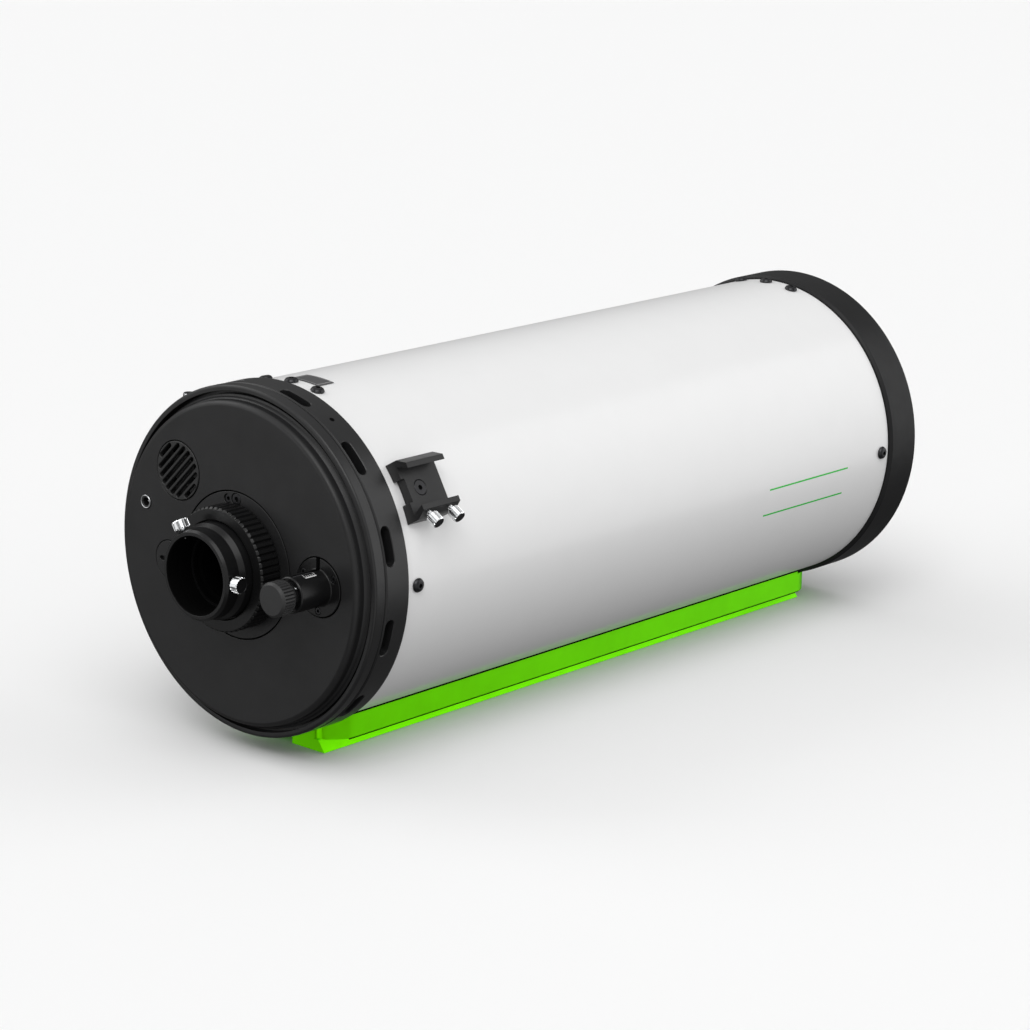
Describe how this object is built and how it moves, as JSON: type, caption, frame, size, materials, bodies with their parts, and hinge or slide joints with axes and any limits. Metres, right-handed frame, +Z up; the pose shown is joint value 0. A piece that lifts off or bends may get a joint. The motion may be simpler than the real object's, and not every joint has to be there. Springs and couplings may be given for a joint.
{
  "type": "telescope optical tube",
  "caption": "Closed-tube catadioptric telescope tube with front corrector, slotted rear vent ring, eyepiece port, focus knob, finder shoes and a wide dovetail bar.",
  "frame": {"origin": "centre of the flat underside of the dovetail bar", "axes": "+Y along the optical axis towards the sky, +Z up from the bar to the tube, +X to the right seen from behind"},
  "size_m": [0.2491, 0.6382, 0.2448],
  "materials": {
    "tube_white": "gloss white enamel on rolled aluminium",
    "black_satin": "fine-textured satin black",
    "black_matt": "matt black light-absorbing paint",
    "screw_black": "black oxide",
    "black_plastic": "moulded, matt",
    "knob_black": "ribbed satin black grip",
    "chrome_parts": "polished, knurled",
    "green_anodised": "bright green anodised, satin",
    "optical_glass": "coated optical glass",
    "mirror_coating": "first-surface mirror",
    "aluminium_bare": "machined",
    "steel_shaft": "ground steel",
    "brass_nut": "machined",
    "window_grey": "smoked clear plastic with a scale",
    "label_grey": "blank metallic foil label"
  },
  "bodies": {
    "optical_tube": {"main_tube": "tube_white", "front_cell": "black_satin", "corrector_lens": "optical_glass", "corrector_retaining_ring": "black_matt", "secondary_baffle": "black_matt", "vent_ring": "black_satin", "vent_ring_grub_screw": "screw_black", "rear_cell": "black_satin", "back_cover": "black_satin", "vent_grille": "black_plastic", "fan_frame": "black_plastic", "power_jack": "chrome_parts", "spanner_plug": "black_satin", "collimation_plate": "black_satin", "baffle_tube": "black_matt", "focuser_housing": "black_satin", "focuser_scale_window": "window_grey", "right_finder_shoe": "black_satin", "left_finder_shoe": "black_satin", "right_shoe_screw": "screw_black", "left_shoe_screw": "screw_black", "tube_label": "label_grey", "dovetail_bar": "green_anodised", "dovetail_bolt_rear": "screw_black", "dovetail_bolt_front": "screw_black", "collimation_pull_screw_1": "screw_black", "collimation_push_screw_1": "screw_black", "focuser_flange_screw_1": "screw_black", "collimation_pull_screw_2": "screw_black", "collimation_push_screw_2": "screw_black", "focuser_flange_screw_2": "screw_black", "collimation_pull_screw_3": "screw_black", "collimation_push_screw_3": "screw_black", "focuser_flange_screw_3": "screw_black", "rear_tube_screw_1": "screw_black", "front_tube_screw_1": "screw_black", "rear_tube_screw_2": "screw_black", "front_tube_screw_2": "screw_black", "rear_tube_screw_3": "screw_black", "front_tube_screw_3": "screw_black", "rear_tube_screw_4": "screw_black", "front_tube_screw_4": "screw_black", "rear_tube_screw_5": "screw_black", "front_tube_screw_5": "screw_black"},
    "fan_rotor_body": {"fan_rotor": "black_plastic"},
    "locking_ring_body": {"locking_ring": "black_satin"},
    "visual_back_body": {"visual_back": "black_satin"},
    "visual_back_clamp_1": {"visual_back_thumbscrew_1": "chrome_parts"},
    "visual_back_clamp_2": {"visual_back_thumbscrew_2": "chrome_parts"},
    "mirror_cell": {"primary_mirror": "mirror_coating", "mirror_carrier": "aluminium_bare", "focus_nut": "brass_nut"},
    "focus_drive": {"focus_knob": "knob_black", "focus_shaft": "steel_shaft"},
    "right_shoe_clamp_1": {"right_shoe_thumbscrew_1": "chrome_parts"},
    "right_shoe_clamp_2": {"right_shoe_thumbscrew_2": "chrome_parts"},
    "left_shoe_clamp_1": {"left_shoe_thumbscrew_1": "chrome_parts"},
    "left_shoe_clamp_2": {"left_shoe_thumbscrew_2": "chrome_parts"}
  },
  "joints": [
    {"name": "fan_spin", "type": "hinge", "parent": "optical_tube", "child": "fan_rotor_body", "pos_m": [-0.0538, -0.2953, 0.1818], "axis": [0, 1, 0], "continuous": true},
    {"name": "locking_ring_turn", "type": "hinge", "parent": "optical_tube", "child": "locking_ring_body", "pos_m": [0, -0.3115, 0.1288], "axis": [0, 1, 0], "range_deg": [-720, 0]},
    {"name": "visual_back_rotation", "type": "hinge", "parent": "optical_tube", "child": "visual_back_body", "pos_m": [0, -0.3295, 0.1288], "axis": [0, 1, 0], "continuous": true},
    {"name": "visual_back_clamp_1_turn", "type": "hinge", "parent": "visual_back_body", "child": "visual_back_clamp_1", "pos_m": [0.034, -0.3339, 0.1288], "axis": [1, 0, 0], "range_deg": [0, 1080]},
    {"name": "visual_back_clamp_2_turn", "type": "hinge", "parent": "visual_back_body", "child": "visual_back_clamp_2", "pos_m": [-0.01802, -0.3339, 0.15763], "axis": [-0.5299, 0, 0.848], "range_deg": [0, 1080]},
    {"name": "mirror_slide", "type": "slide", "parent": "optical_tube", "child": "mirror_cell", "axis": [0, 1, 0], "range_m": [-0.006, 0.006]},
    {"name": "focus_knob_turn", "type": "hinge", "parent": "optical_tube", "child": "focus_drive", "pos_m": [0.0742, -0.3385, 0.1293], "axis": [0, 1, 0], "range_deg": [-1445, 1445]},
    {"name": "right_shoe_clamp_1_turn", "type": "hinge", "parent": "optical_tube", "child": "right_shoe_clamp_1", "pos_m": [0.12342, -0.2493, 0.17315], "axis": [0.8567, 0, -0.5158], "range_deg": [0, 1080]},
    {"name": "right_shoe_clamp_2_turn", "type": "hinge", "parent": "optical_tube", "child": "right_shoe_clamp_2", "pos_m": [0.12342, -0.2297, 0.17315], "axis": [0.8567, 0, -0.5158], "range_deg": [0, 1080]},
    {"name": "left_shoe_clamp_1_turn", "type": "hinge", "parent": "optical_tube", "child": "left_shoe_clamp_1", "pos_m": [-0.10012, -0.2493, 0.21351], "axis": [0.0183, 0, 0.9998], "range_deg": [0, 1080]},
    {"name": "left_shoe_clamp_2_turn", "type": "hinge", "parent": "optical_tube", "child": "left_shoe_clamp_2", "pos_m": [-0.10012, -0.2297, 0.21351], "axis": [0.0183, 0, 0.9998], "range_deg": [0, 1080]}
  ],
  "couplings": [
    {"joint": "focus_knob_turn", "follows": "mirror_slide", "rad_per_m": 4188.8}
  ]
}
